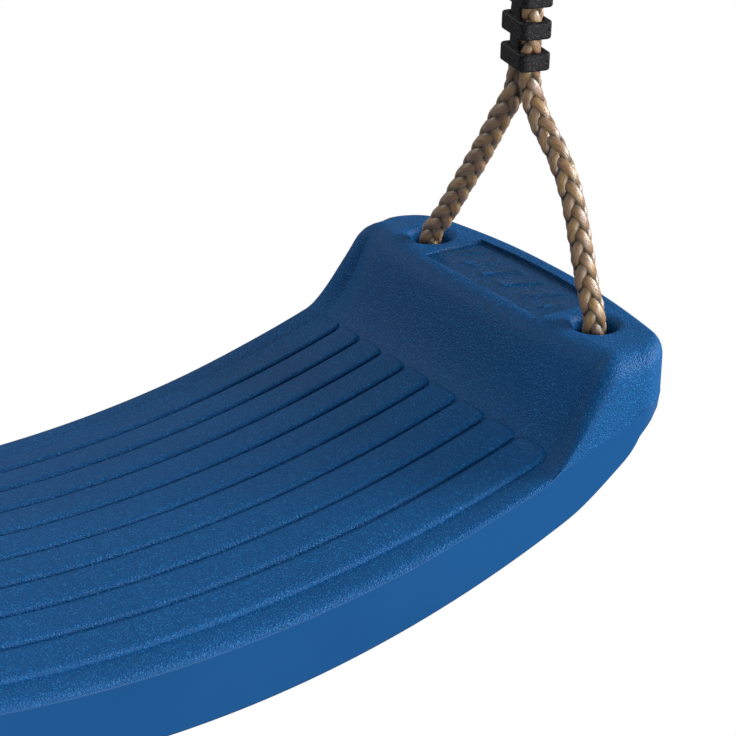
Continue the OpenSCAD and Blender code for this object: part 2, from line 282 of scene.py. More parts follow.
FLOAT, COLOUR, VECTOR = "NodeSocketFloat", "NodeSocketColor", "NodeSocketVector"


def link_chain(tree, *pairs):
    """Links each pair's source to its target"""
    for source, target in pairs:
        tree.links.new(source, target)


def math_node(tree, operation, a=None, b=None):
    """The output of a new Math node; a and b are numbers or sockets"""
    node = tree.nodes.new("ShaderNodeMath")
    node.operation = operation
    for socket, value in zip(node.inputs, (a, b)):
        if isinstance(value, (int, float)):
            socket.default_value = value
        elif value is not None:
            tree.links.new(value, socket)
    return node.outputs[0]


def pebble_group():
    """Moulded grain: small rounded pebbles of uneven size, with a height and a mask of their tops, where
    glints are painted
    """
    tree, given, result = new_group(
        "Pebble grain",
        [("Size", FLOAT, 1500.0), ("Vector", VECTOR, None)],
        [("Height", FLOAT), ("Painted glint", FLOAT)],
    )
    cells = tree.nodes.new("ShaderNodeTexVoronoi")
    cells.feature = "SMOOTH_F1"
    cells.inputs["Smoothness"].default_value = 0.5
    noise = tree.nodes.new("ShaderNodeTexNoise")
    noise.inputs["Detail"].default_value = 3
    link_chain(
        tree,
        (given.outputs["Vector"], cells.inputs["Vector"]),
        (given.outputs["Vector"], noise.inputs["Vector"]),
        (given.outputs["Size"], cells.inputs["Scale"]),
        (math_node(tree, "MULTIPLY", given.outputs["Size"], 0.6), noise.inputs["Scale"]),
    )
    pebble = math_node(tree, "SUBTRACT", 1.0, cells.outputs["Distance"])
    height = math_node(tree, "ADD", pebble, noise.outputs["Fac"])
    # The pebbles' tops, where painted glints stand in for the grain's highlights
    painted_glint = math_node(tree, "MULTIPLY", math_node(tree, "SUBTRACT", height, 1.12), 4.0)
    clamped = tree.nodes.new("ShaderNodeClamp")
    link_chain(
        tree,
        (painted_glint, clamped.inputs["Value"]),
        (height, result.inputs["Height"]),
        (clamped.outputs["Result"], result.inputs["Painted glint"]),
    )
    return tree


def tone_group():
    """Slow, uneven change of tone over a surface"""
    tree, given, result = new_group(
        "Tone",
        [("Colour", COLOUR, None), ("Size", FLOAT, 8.0), ("Depth", FLOAT, 0.15), ("Vector", VECTOR, None)],
        [("Colour", COLOUR), ("Mask", FLOAT)],
    )
    noise = tree.nodes.new("ShaderNodeTexNoise")
    noise.inputs["Detail"].default_value = 5
    shade = tree.nodes.new("ShaderNodeHueSaturation")
    lift = math_node(tree, "SUBTRACT", noise.outputs["Fac"], 0.5)
    value = math_node(tree, "ADD", math_node(tree, "MULTIPLY", lift, given.outputs["Depth"]), 1.0)
    link_chain(
        tree,
        (given.outputs["Vector"], noise.inputs["Vector"]),
        (given.outputs["Size"], noise.inputs["Scale"]),
        (given.outputs["Colour"], shade.inputs["Color"]),
        (value, shade.inputs["Value"]),
        (shade.outputs["Color"], result.inputs["Colour"]),
        (noise.outputs["Fac"], result.inputs["Mask"]),
    )
    return tree


def moulded(name, base_colour, groups, grain=0.0, roughness=0.4, size=1500.0, tone=0.3,
            painted_glint=(0.012, 0.12, 0.33)):
    """Moulded plastic: grain is its pebbles' height in millimetres, and none leaves it smooth. Grained
    plastic gets painted glints, a paler colour screened over its pebbles' tops
    """
    s = Shader(name)
    place = s.node("ShaderNodeTexCoord").outputs["Object"]
    shade = s.group(groups["tone"], Colour=(*base_colour, 1), Size=14.0, Depth=tone)
    s.join(place, shade.inputs["Vector"])
    pebble = s.group(groups["pebble"], Size=size)
    s.join(place, pebble.inputs["Vector"])
    bump = s.node("ShaderNodeBump")
    set_inputs(bump, Strength=0.9 if grain else 0.12, Distance=(grain or 0.02) * MM)
    s.join(pebble.outputs["Height"], bump.inputs["Height"])
    s.join(bump.outputs["Normal"], s.surface.inputs["Normal"])
    base = shade.outputs["Colour"]
    if grain:
        # Painted glints: a paler colour screened over the pebbles' tops stands in for their highlights
        with_painted_glints = s.node("ShaderNodeMix", data_type="RGBA", blend_type="SCREEN")
        with_painted_glints.inputs["B"].default_value = (*painted_glint, 1)
        weight = math_node(s.tree, "MULTIPLY", pebble.outputs["Painted glint"], 0.85)
        s.join(weight, with_painted_glints.inputs["Factor"])
        s.join(base, with_painted_glints.inputs["A"])
        base = with_painted_glints.outputs["Result"]
    s.join(base, s.surface.inputs["Base Color"])
    spread = math_node(s.tree, "MULTIPLY", shade.outputs["Mask"], 0.15)
    rough = math_node(s.tree, "ADD", spread, roughness - 0.075)
    s.join(rough, s.surface.inputs["Roughness"])
    set_inputs(s.surface, Specular_IOR_Level=0.12 if grain else 0.22)
    return s.material


# ---------------------------------------------------------------- seat


# The crown and the bow are given for this distance from the seat's middle line
CROWN_REACH = 75.0
REAR_UPTURN, REAR_WALL_SHIFT, REAR_BLOCK_FALL = 1.2, 5.0, 2.2
WALL_SLOPE = 1.9
FILLET = 13.0
LIP = 2.0
PAD_CORNER = 3.6


def pad_half_width(seat):
    return (seat.pad_pitch - seat.pad_gap) / 2


def bow_at(seat, y):
    """How far the wall and the strips' ends lie outward of their place on the middle line"""
    return seat.wall_bow * (y / CROWN_REACH) ** 2


def slab_height(seat, x, y):
    """The dished and crowned upper face, whose rear edge turns up a little"""
    dish = seat.dish_radius - np.sqrt(seat.dish_radius**2 - x * x)
    crown = np.minimum(y, CROWN_REACH) ** 2 / (2 * seat.crown_radius)
    return dish - crown + REAR_UPTURN * ramp(y, 71, 8)


def rear_shift(y):
    """The block's wall curves round to the seat's end near the rear edge"""
    return REAR_WALL_SHIFT * ramp(y, 58, 27)


def body_height(seat, x, y):
    """Upper face without pads or panel: the dish, the block's wall and its flat top"""
    slab = slab_height(seat, x, y)
    d = np.maximum(seat.crest + bow_at(seat, y) + rear_shift(y) - np.abs(x), 0)
    run = seat.crest_radius * WALL_SLOPE / math.hypot(1, WALL_SLOPE)
    arc = seat.crest_radius - np.sqrt(seat.crest_radius**2 - np.minimum(d, run) ** 2)
    wall = seat.block_height - arc - WALL_SLOPE * np.maximum(d - run, 0)
    wall = wall - REAR_BLOCK_FALL * ramp(y, 62, 24)
    overlap = np.maximum(FILLET - np.abs(slab - wall), 0) / FILLET
    return np.maximum(slab, wall) + overlap * overlap * FILLET / 4


def pad_relief(seat, x, y):
    """Raised strips with rounded lips and rounded ends"""
    index = np.clip(np.round(y / seat.pad_pitch), -(seat.pad_count // 2), seat.pad_count // 2)
    across = pad_half_width(seat) - np.abs(y - index * seat.pad_pitch)
    along = seat.pad_end + bow_at(seat, y) - np.abs(x)
    corner_a, corner_b = PAD_CORNER - across, PAD_CORNER - along
    outside = np.hypot(np.maximum(corner_a, 0), np.maximum(corner_b, 0))
    inside = PAD_CORNER - np.where((corner_a > 0) & (corner_b > 0), outside,
                                   np.maximum(corner_a, corner_b))
    t = np.clip(inside / LIP, 0, 1)
    return seat.pad_relief * np.sqrt(np.maximum(1 - (1 - t) ** 2, 0))


PANEL_INNER, PANEL_OUTER, PANEL_HALF = 181.0, 213.3, 38.0
PANEL_STEP = 0.5
PANEL_INNER_DEPTH, PANEL_EXTRA_DEPTH = 0.45, 1.0
BAR_MIDDLE, BAR_LEAN, BAR_PITCH = 197.5, 0.35, 13.0
BAR_HALF_WIDTH, BAR_HALF_LENGTH, BAR_HEIGHT, BAR_REACH = 2.2, 9.5, 0.55, 32


def panel_depth(x, y):
    """Shallow recess between the rope holes, deeper towards the seat's end, with slanted bars"""
    ax = np.abs(x)
    edge = np.minimum(np.minimum(ax - PANEL_INNER, PANEL_OUTER - ax), PANEL_HALF - np.abs(y))
    fall = smoothstep(edge / PANEL_STEP)
    share = smoothstep((ax - PANEL_INNER) / (PANEL_OUTER - PANEL_INNER))
    depth = PANEL_INNER_DEPTH + PANEL_EXTRA_DEPTH * share
    slanted = (y + BAR_LEAN * (ax - BAR_MIDDLE + 0.5)) % BAR_PITCH - BAR_PITCH / 2
    bars = smoothstep((BAR_HALF_WIDTH - np.abs(slanted)) / 0.9)
    bars *= smoothstep((BAR_HALF_LENGTH - np.abs(ax - BAR_MIDDLE)) / 1.2) * (np.abs(y) < BAR_REACH)
    return fall * (depth - BAR_HEIGHT * bars)


def underside(seat, x):
    """Along the seat a circle, which rises faster under the block and flattens near the end"""
    ax = np.abs(x)
    r = seat.underside_radius
    circle = r - np.sqrt(r * r - ax * ax) - seat.depth
    return circle + 7.5 * ramp(ax, 160, 42) - 3.5 * ramp(ax, 188, 32)


# Distances of the mesh lines from a strip's edge, so that its lip comes out round
LIP_STEPS = (LIP, 1.4, 0.9, 0.5, 0.22, 0.06, 0)


def pad_lines(seat, reach):
    """Places of the lengthwise mesh lines up to reach: close together at every lip"""
    half = pad_half_width(seat)
    inner = [0, 2.6] + [half - step for step in (3, *LIP_STEPS)] + [half + 0.3]
    lines = set()
    for i in range(-(seat.pad_count // 2), seat.pad_count // 2 + 1):
        middle = i * seat.pad_pitch
        for offset in (*inner, seat.pad_pitch / 2):
            lines.update((round(middle + offset, 3), round(middle - offset, 3)))
    lines.update((PANEL_HALF, -PANEL_HALF, PANEL_HALF - PANEL_STEP, PANEL_STEP - PANEL_HALF))
    return sorted(line for line in lines if abs(line) < reach)


def cross_lines(seat):
    """Places of the crosswise mesh lines, close together at the pads' ends and the panel"""
    end = seat.pad_end
    right = list(np.arange(0, 140, 6.0)) + [141, 144.5, 147.2]
    right += [end - step for step in (3.8, 2.8, *LIP_STEPS)] + [end + 0.4]
    right += list(np.arange(end + 1.2, 181, 1.4))
    right += [PANEL_INNER, PANEL_INNER + PANEL_STEP]
    right += list(np.arange(183, 212.5, 1.6)) + [PANEL_OUTER - PANEL_STEP, PANEL_OUTER, 214.5]
    return sorted({round(sign * x, 3) for x in right for sign in (1, -1)})


CORNER_INSIDE = 7.0
CORNER_OUTSIDE = 16.0
END_BOW_RADIUS = 330.0


def seat_grid(seat, long, wide):
    """Vertices of one face in plan, on bowed lines with rounded corners"""
    hx, hy = long / 2 - seat.end_rim, wide / 2 - seat.rim_width
    xs = np.array([-hx] + cross_lines(seat) + [hx])
    ys = np.array([-hy] + pad_lines(seat, hy) + [hy])
    x, y = np.meshgrid(xs, ys, indexing="ij")
    follow = ramp(np.abs(x), 90, 55) * (1 - ramp(np.abs(x), 186, 22))
    x = x + np.sign(x) * bow_at(seat, y) * follow
    # Corner squares become quarter discs
    r = CORNER_INSIDE
    a = np.clip((np.abs(x) - (hx - r)) / r, 0, 1)
    b = np.clip((np.abs(y) - (hy - r)) / r, 0, 1)
    x = np.where((a > 0) & (b > 0), np.sign(x) * (hx - r + r * a * np.sqrt(1 - b * b / 2)), x)
    y = np.where((a > 0) & (b > 0), np.sign(y) * (hy - r + r * b * np.sqrt(1 - a * a / 2)), y)
    return x, y, hx, hy


def end_bow(x, y):
    """The ends are slightly bowed in plan"""
    return -np.sign(x) * y * y / (2 * END_BOW_RADIUS) * ramp(np.abs(x), 186, 26)


def edge_ring(x, y, hx, hy, share, seat, end_share=None):
    """A boundary ring moved outward by share of the rim, with its corners growing rounder"""
    r0 = CORNER_INSIDE
    r = r0 + (CORNER_OUTSIDE - r0) * share
    out_x = hx + seat.end_rim * (share if end_share is None else end_share)
    out_y = hy + seat.rim_width * share
    flat_x, flat_y = hx - r0, hy - r0
    cx, cy = np.clip(x, -flat_x, flat_x), np.clip(y, -flat_y, flat_y)
    nx, ny = (x - cx) / r0, (y - cy) / r0
    return cx * (out_x - r) / flat_x + nx * r, cy * (out_y - r) / flat_y + ny * r


def boundary_indices(n, m):
    """Grid indices once round the edge of an n by m grid"""
    return (
        [(i, 0) for i in range(n)]
        + [(n - 1, j) for j in range(1, m)]
        + [(i, m - 1) for i in range(n - 2, -1, -1)]
        + [(0, j) for j in range(m - 2, 0, -1)]
    )


# Places of the seat's finishes in its list of materials
GRAINED, SMOOTH, PANEL = 0, 1, 2
# Rings under the parting line: share of the rim's width, and of the way down to the foot.
# The first two are a fine raised seam
SIDE_RINGS = ((1.055, 0.012), (1.055, 0.04), (1.04, 0.06), (1.02, 0.3), (1.0, 0.6), (0.97, 1.0))
FOOT = 0.97
RIM_STEPS = 8


def side_rings(seat, ex, ey, ez, hx, hy):
    """Rings of the seat's side from the upper face's edge at ex, ey, ez down to the underside.

    Returns each ring's x, y and z, and how many of them are grained
    """
    rings = []

    def ring(share, lean, rz, end_share=None):
        rx, ry = edge_ring(ex, ey, hx, hy, share, seat, end_share)
        rx = rx + lean
        rings.append((rx + end_bow(rx, ry), ry, rz))

    # Rounded rim, square to the upper face: a quarter ellipse, squarer at the rear
    step = 0.5
    rise = body_height(seat, ex + step, ey) - body_height(seat, ex - step, ey)
    slope = rise / (2 * step)
    slope = np.where(np.abs(ex) > hx - CORNER_INSIDE - 1, 0, slope)
    tilt = np.hypot(1, slope)
    on_block = smoothstep((body_height(seat, ex, ey) - slab_height(seat, ex, ey)) / 24)
    near_wall = ramp(np.abs(ex), 85, 45)
    depth_here = (seat.rim_drop - 1.2 * near_wall) * (1 - on_block) + seat.block_rim_drop * on_block
    power = 2 + 1.4 * smoothstep(ey / 40) * (1 - on_block)
    for k in range(1, RIM_STEPS + 1):
        share = math.sin(k * math.pi / 2 / RIM_STEPS)
        drop = depth_here * (1 - (1 - share**power) ** (1 / power))
        ring(share, drop * slope / tilt, ez - drop / tilt)

    # Grained side of the block, down to the parting line that carries on the dish's curve
    rim_x, rim_z = depth_here * slope / tilt, ez - depth_here / tilt
    round_z = 2 + 2 * ramp(np.abs(ex), 200, 12)
    foot_x, _ = edge_ring(ex, ey, hx, hy, FOOT, seat)
    foot_z = underside(seat, np.clip(foot_x, -hx, hx)) + round_z
    line_z = slab_height(seat, np.minimum(np.abs(ex), 205), -np.abs(ey)) - 0.2
    line_z = line_z - 1.5 * ramp(np.abs(ex), 178, 20)
    line_z = np.minimum(np.maximum(line_z, foot_z + 4), rim_z - 0.5)
    for share in (0.3, 0.65, 1):
        ring(1 + 0.04 * share, rim_x * (1 - share), rim_z + (line_z - rim_z) * share)
    grained = len(rings)

    # Smooth face below the line, and the round to the underside
    for share, along in SIDE_RINGS:
        ring(share, 0, line_z + (foot_z - line_z) * along)
    for k in range(1, 5):
        angle = k * math.pi / 8
        inset = 1 - math.cos(angle)
        ring(FOOT - 0.2 * inset, 0, foot_z - round_z * math.sin(angle), FOOT - 0.6 * inset)
    return rings, grained


def seat_mesh(seat):
    """Closed outer skin of the seat, before its rope holes are cut"""
    long = (SEAT_HIGH.x - SEAT_LOW.x) / MM
    wide = (SEAT_HIGH.y - SEAT_LOW.y) / MM
    x, y, hx, hy = seat_grid(seat, long, wide)
    n, m = x.shape
    depth = panel_depth(x, y)
    z = body_height(seat, x, y) + pad_relief(seat, x, y) - depth
    zero = BLOCK_TOP / MM - seat.block_height
    bm = bmesh.new()

    def vertex(px, py, pz):
        return bm.verts.new((px * MM, py * MM, (pz + zero) * MM))

    def grid(gz):
        gx = x + end_bow(x, y)
        return [[vertex(gx[i, j], y[i, j], gz[i, j]) for j in range(m)] for i in range(n)]

    def grid_faces(v, way=1):
        for i in range(n - 1):
            for j in range(m - 1):
                corners = (v[i][j], v[i + 1][j], v[i + 1][j + 1], v[i][j + 1])
                yield i, j, bm.faces.new(corners[::way])

    top = grid(z)
    for i, j, face in grid_faces(top):
        sunk = depth[i : i + 2, j : j + 2].mean() > 0.3
        face.material_index = PANEL if sunk else GRAINED
    around = boundary_indices(n, m)
    edge = [np.array([values[i, j] for i, j in around]) for values in (x, y, z)]
    rings, grained = side_rings(seat, *edge, hx, hy)
    loops = [[top[i][j] for i, j in around]]
    loops += [[vertex(*point) for point in zip(*ring)] for ring in rings]
    bottom = grid(underside(seat, x))
    for _, _, face in grid_faces(bottom, -1):
        face.material_index = SMOOTH
    loops.append([bottom[i][j] for i, j in around])
    for k, (upper, lower) in enumerate(zip(loops, loops[1:])):
        for face in loft(bm, [upper, lower]):
            face.material_index = GRAINED if k < grained else SMOOTH
    bmesh.ops.recalc_face_normals(bm, faces=bm.faces)
    return object_from_bmesh("seat", bm)


def lathe(name, profile, centre, segments=56):
    """Closed turned shape about a vertical line; profile is (radius, height) from top to bottom"""
    bm = bmesh.new()
    loops = []
    for radius, height in profile:
        loops.append([
            bm.verts.new((
                centre[0] + radius * math.cos(2 * math.pi * k / segments) * MM,
                centre[1] + radius * math.sin(2 * math.pi * k / segments) * MM,
                centre[2] + height * MM,
            ))
            for k in range(segments)
        ])
    return closed_loft(name, bm, loops)


def hole_cutter(seat, x, y):
    """Rope hole with a rounded mouth"""
    r, mouth, above = seat.hole_radius, 3.0, 3.0
    profile = [(r + mouth + 0.25, above), (r + mouth, -0.02)]
    for k in range(1, 7):
        angle = math.pi / 2 * (0.18 + 0.82 * k / 6)
        profile.append((r + mouth * (1 - math.sin(angle)), -mouth * (1 - math.cos(angle))))
    profile.append((r, seat.groove_floor - seat.block_height - 1))
    return lathe("hole cutter", profile, (x, y, BLOCK_TOP))


def groove_cutter(seat, x):
    """Rope groove under the block, from one hole to the other"""
    bm = bmesh.new()
    steps = 16
    r, half = seat.hole_radius + 0.02, seat.hole_y
    outline = []
    for end in (1, -1):
        for k in range(steps + 1):
            angle = math.pi * k / steps + (0 if end > 0 else math.pi)
            outline.append((r * math.cos(angle), end * half + r * math.sin(angle)))
    zero = BLOCK_TOP / MM - seat.block_height
    loops = [
        [bm.verts.new((x + a * grow * MM, b * MM, (zero + z) * MM)) for a, b in outline]
        for z, grow in ((-60, 1), (seat.groove_floor - 2, 1), (seat.groove_floor - 0.6, 0.93),
                        (seat.groove_floor, 0.76))
    ]
    return closed_loft("groove cutter", bm, loops)


class SWING_OT_seat(bpy.types.Operator):
    """Moulded seat with its strips, end blocks, rope holes and finish"""

    bl_idname = "swing.seat"
    bl_label = "Seat"

    def execute(self, context):
        seat = in_millimetres(context.scene.swing_seat)
        colours = context.scene.swing_colours
        obj = seat_mesh(seat)
        for side in SIDES.values():
            for y in (-seat.hole_y, seat.hole_y):
                cut(obj, hole_cutter(seat, side * LINE_X, y * MM))
            cut(obj, groove_cutter(seat, side * LINE_X))
        groups = shared_groups()
        # Grained and panel finishes get bluish painted glints on their pebbles' tops
        grained = moulded("Seat grained", colours.seat, groups, grain=0.32, roughness=0.46)
        smooth = moulded("Seat smooth", colours.seat, groups, roughness=0.36)
        obj.data.materials.append(grained)
        obj.data.materials.append(smooth)
        # Painted shade: the panel gets the seat's colour at half strength, so that its recess looks darker
        panel_painted_shade = [0.5 * c for c in colours.seat]
        panel = moulded("Seat panel painted shade", panel_painted_shade, groups, grain=0.05, roughness=0.3)
        obj.data.materials.append(panel)
        smooth_by_angle(obj, 40)
        weigh_normals(obj)
        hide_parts("seat_shell")
        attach(obj, "seat")
        return {"FINISHED"}


def shared_groups():
    """Node groups that several finishes use, made once"""
    if "Pebble grain" not in bpy.data.node_groups:
        pebble_group()
        tone_group()
    return {"pebble": bpy.data.node_groups["Pebble grain"], "tone": bpy.data.node_groups["Tone"]}


# ---------------------------------------------------------------- rope

# Each point is [Y, Z, share of the rope's radius, X], counted from the rope holes' mouth on the line
FRONT_LEG = [[-54, 0, 1, 0], [-47.5, 16, 1, 0.2], [-41.5, 32.5, 1, 0.5], [-34, 49.5, 1, 0.8],
             [-24.5, 62, 1, 1], [-13.5, 72, 1, 1.2], [-7.3, 81, 0.97, 1.3]]
REAR_LEG = [[3.5, 80, 0.97, 1.3], [11.4, 66.2, 1, 1.1], [22.3, 47.5, 1, 0.8], [33.5, 29.8, 1, 0.5],
            [44.5, 12.5, 1, 0.2], [53, 0, 1, 0]]
# Height of the clamp's foot above the mouth that the legs' heights are given for
BRIDLE = 92.0
# The clamp's turn about the line, and half the distance of the two runs that it holds
CLAMP_TURN = math.radians(-13)
NIP, NIP_SHARE = 4.6, 0.9
# Middle of the rope round the thimble, and of its run under the block
EYE_RADIUS = 15.5
UNDER_Y, UNDER_Z, UNDER_BEND = 54, -27.9, 9.0


def rope_points():
    """One side's rope as a closed loop: legs, clamp, eye round the thimble and under the block"""
    centre = (CLAMP_LOW + CLAMP_HIGH) / 2
    clamp_x, clamp_y = (centre.x - LINE_X) / MM, centre.y / MM
    bottom, top = (CLAMP_LOW.z - MOUTH_Z) / MM, (CLAMP_HIGH.z - MOUTH_Z) / MM
    low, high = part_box("right_thimble")
    eye_z = ((low.z + high.z) / 2 - MOUTH_Z) / MM

    def nipped(side, z):
        y = side * NIP
        return [y * math.cos(CLAMP_TURN) + clamp_y, z, NIP_SHARE, clamp_x - y * math.sin(CLAMP_TURN)]

    tall = bottom / BRIDLE
    points = [[y, z * tall, share, x] for y, z, share, x in FRONT_LEG]
    for share in (0, 0.25, 0.5, 0.75, 1):
        points.append(nipped(-1, bottom + (top - bottom) * share))
    for k in range(9):
        angle = math.radians(-28 + 236 * k / 8)
        points.append([-EYE_RADIUS * math.cos(angle), eye_z + EYE_RADIUS * math.sin(angle), 1, 0])
    for share in (1, 0.75, 0.5, 0.25, 0):
        points.append(nipped(1, bottom + (top - bottom) * share))
    points += [[y, z * tall, share, x] for y, z, share, x in REAR_LEG]
    rear_turn = [[UNDER_Y, -9, 1, 0]]
    for k in range(5):
        angle = math.pi / 2 * k / 4
        rear_turn.append([UNDER_Y - UNDER_BEND * (1 - math.cos(angle)),
                          UNDER_Z + UNDER_BEND * (1 - math.sin(angle)), 1, 0])
    points += rear_turn
    points += [[y, UNDER_Z, 1, 0] for y in (25, 0, -25)]
    points += [[-y, z, share, x] for y, z, share, x in reversed(rear_turn)]
    return np.array(points)


def closed_curve(points, pitch):
    """Smooth closed curve through the points, at even steps of about pitch"""
    previous, following = np.roll(points, 1, axis=0), np.roll(points, -1, axis=0)
    spans = np.linalg.norm((following - points)[:, [0, 1, 3]], axis=1)
    back = np.roll(spans, 1)
    tangent = ((points - previous) / back[:, None] * spans[:, None]
               + (following - points) / spans[:, None] * back[:, None]) / (spans + back)[:, None]
    samples = []
    for i in range(len(points)):
        j = (i + 1) % len(points)
        t = np.arange(0, 1, 0.02)[:, None]
        a, b, s = points[i], points[j], spans[i]
        samples.append((2 * t**3 - 3 * t**2 + 1) * a + (t**3 - 2 * t**2 + t) * s * tangent[i]
                       + (3 * t**2 - 2 * t**3) * b + (t**3 - t**2) * s * tangent[j])
    dense = np.vstack(samples)
    dense = np.vstack([dense, dense[:1]])
    along = np.concatenate([[0], np.cumsum(np.linalg.norm(np.diff(dense[:, [0, 1, 3]], axis=0), axis=1))])
    count = int(along[-1] / pitch)
    even = np.linspace(0, along[-1], count, endpoint=False)
    curve = np.stack([np.interp(even, along, dense[:, c]) for c in range(4)], axis=1)
    return curve, along[-1]


# Points round a strand
AROUND = 10
# A strand's half width and half height, the middle of its place in the braid, and what each
# gains where the strand lies on top, for a rope of ROPE_SIZE
ROPE_SIZE = 10
STRAND_WIDTH, STRAND_WIDTH_GAIN = 2.2, 0.25
STRAND_HEIGHT, STRAND_HEIGHT_GAIN = 1.85, 0.1
STRAND_PLACE, STRAND_PLACE_GAIN = 2.3, 0.75


def strand(curve, rope_length, frame_axes, turns, way, index, rope):
    """Vertices, fibre places and shade of one strand; way is 1 or -1, the way that it turns"""
    count = len(curve)
    t = np.arange(count) / count
    across, lift = frame_axes
    share = curve[:, 2] * rope.diameter / ROPE_SIZE
    angle = way * 2 * math.pi * turns * t + index * math.pi / 2 - (way < 0) * math.pi / 4
    over = way * np.cos(2 * angle)
    over = over * (1.5 - 0.5 * over * over)
    outward = np.cos(angle)[:, None] * across + np.sin(angle)[:, None] * lift
    away = (STRAND_PLACE + STRAND_PLACE_GAIN * over) * share
    middle = curve[:, [3, 0, 1]] + outward * away[:, None]
    forward = np.roll(middle, -1, axis=0) - np.roll(middle, 1, axis=0)
    forward /= np.linalg.norm(forward, axis=1)[:, None]
    side = np.cross(forward, outward)
    side /= np.linalg.norm(side, axis=1)[:, None]
    up = np.cross(side, forward)
    half_width = (STRAND_WIDTH + STRAND_WIDTH_GAIN * over) * share
    half_height = (STRAND_HEIGHT + STRAND_HEIGHT_GAIN * over) * share
    points, fibre = [], []
    for k in range(AROUND):
        phi = 2 * math.pi * k / AROUND
        points.append(middle + side * (half_width * math.cos(phi))[:, None]
                      + up * (half_height * math.sin(phi))[:, None])
        fibre.append(np.stack([t * rope_length + index * 37 + way * 500,
                               np.full(count, STRAND_WIDTH * math.cos(phi)),
                               np.full(count, 1.5 * math.sin(phi))], axis=1))
    # Painted shade: darkest where the strand dives and along both its edges
    edge = np.cos(2 * np.pi * np.arange(AROUND) / AROUND) ** 4
    shade = ((over + 1) / 2)[:, None] * (1 - 0.45 * edge)
    return np.stack(points, axis=1), np.stack(fibre, axis=1), shade


def braid(name, side, rope):
    """One side's rope as a mesh of separate strands over and under each other"""
    curve, rope_length = closed_curve(rope_points(), 0.85)
    place = curve[:, [3, 0, 1]]
    forward = np.roll(place, -1, axis=0) - np.roll(place, 1, axis=0)
    forward /= np.linalg.norm(forward, axis=1)[:, None]
    across = np.array([1.0, 0, 0]) - forward * forward[:, :1]
    across /= np.linalg.norm(across, axis=1)[:, None]
    axes = (across, np.cross(forward, across))
    turns = round(rope_length / rope.lay)
    per_way = rope.strands // 2
    parts = [strand(curve, rope_length, axes, turns, way, k * 4 / per_way, rope)
             for way in (1, -1) for k in range(per_way)]
    count = len(curve)
    ring = np.arange(AROUND)
    quad = np.stack([ring, np.roll(ring, -1)], axis=1)
    faces = []
    first, second = quad[:, 0], quad[:, 1]
    for p in range(len(parts)):
        for i in range(count):
            a = (p * count + i) * AROUND
            b = (p * count + (i + 1) % count) * AROUND
            faces.append(np.stack([a + first, a + second, b + second, b + first], axis=1))
    points = np.concatenate([part[0].reshape(-1, 3) for part in parts]) * MM
    points += np.array([side * LINE_X, 0, MOUTH_Z])
    mesh = bpy.data.meshes.new(name)
    mesh.from_pydata(points.tolist(), [], np.concatenate(faces).tolist())
    # The crest values carry the strands' painted shade
    for label, kind, index, width in (("fibre", "FLOAT_VECTOR", 1, 3), ("crest", "FLOAT", 2, 1)):
        values = np.concatenate([part[index].reshape(-1, width) for part in parts])
        attribute = mesh.attributes.new(label, kind, "POINT")
        field = "vector" if width == 3 else "value"
        attribute.data.foreach_set(field, values.astype(np.float32).ravel())
    mesh.update()
    obj = bpy.data.objects.new(name, mesh)
    bpy.context.scene.collection.objects.link(obj)
    activate(obj)
    bpy.ops.object.mode_set(mode="EDIT")
    bpy.ops.mesh.select_all(action="SELECT")
    bpy.ops.mesh.normals_make_consistent(inside=False)
    bpy.ops.object.mode_set(mode="OBJECT")
    bpy.ops.object.shade_smooth()
    return obj


def fibre_group():
    """Streaks along a strand: a fine one for the fibres and a slow one for the tone"""
    tree, given, result = new_group(
        "Fibres", [("Vector", VECTOR, None)], [("Streak", FLOAT), ("Tone", FLOAT)]
    )
    for label, stretch, scale in (
        ("Streak", (0.07, 1.0, 1.0), 5.5),
        ("Tone", (0.05, 0.22, 0.22), 2.0),
    ):
        mapping = tree.nodes.new("ShaderNodeMapping")
        mapping.inputs["Scale"].default_value = stretch
        noise = tree.nodes.new("ShaderNodeTexNoise")
        set_inputs(noise, Scale=scale, Detail=3)
        link_chain(
            tree,
            (given.outputs["Vector"], mapping.inputs["Vector"]),
            (mapping.outputs["Vector"], noise.inputs["Vector"]),
            (noise.outputs["Fac"], result.inputs[label]),
        )
    return tree


